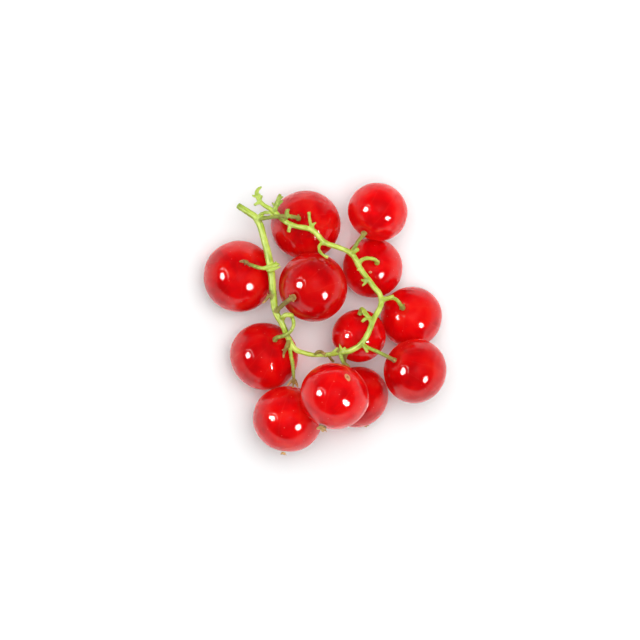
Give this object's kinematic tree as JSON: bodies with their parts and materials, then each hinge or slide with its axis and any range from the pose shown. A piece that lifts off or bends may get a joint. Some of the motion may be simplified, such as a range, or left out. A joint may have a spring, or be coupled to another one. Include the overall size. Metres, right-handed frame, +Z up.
{
  "type": "redcurrant sprig",
  "caption": "A sprig of ripe redcurrants lying on its side: a thin green stem that curls round over glossy red berries, each with a dry flower at its tip.",
  "frame": {"origin": "on the table, under the middle of the sprig", "axes": "+Z up from the table; +Y along the sprig's longer side, towards the cut end of the stem; +X across it, to the right as seen from above"},
  "size_m": [0.0365, 0.0412, 0.0197],
  "materials": {
    "berry_skin": "gloss",
    "green_stem": "satin",
    "dry_flower": "matte"
  },
  "bodies": {
    "root": {"stem": "green_stem", "berry_left": "berry_skin", "berry_top_left": "berry_skin", "berry_upper_right": "berry_skin", "berry_right": "berry_skin", "berry_lower_left": "berry_skin", "berry_under": "berry_skin", "berry_top_right": "berry_skin", "berry_inner": "berry_skin", "berry_lower_right": "berry_skin", "berry_centre": "berry_skin", "berry_bottom": "berry_skin", "berry_front": "berry_skin", "dry_flower_left": "dry_flower", "dry_flower_top_left": "dry_flower", "dry_flower_upper_right": "dry_flower", "dry_flower_right": "dry_flower", "dry_flower_lower_left": "dry_flower", "dry_flower_under": "dry_flower", "dry_flower_top_right": "dry_flower", "dry_flower_inner": "dry_flower", "dry_flower_lower_right": "dry_flower", "dry_flower_centre": "dry_flower", "dry_flower_bottom": "dry_flower", "dry_flower_front": "dry_flower"}
  },
  "joints": []
}
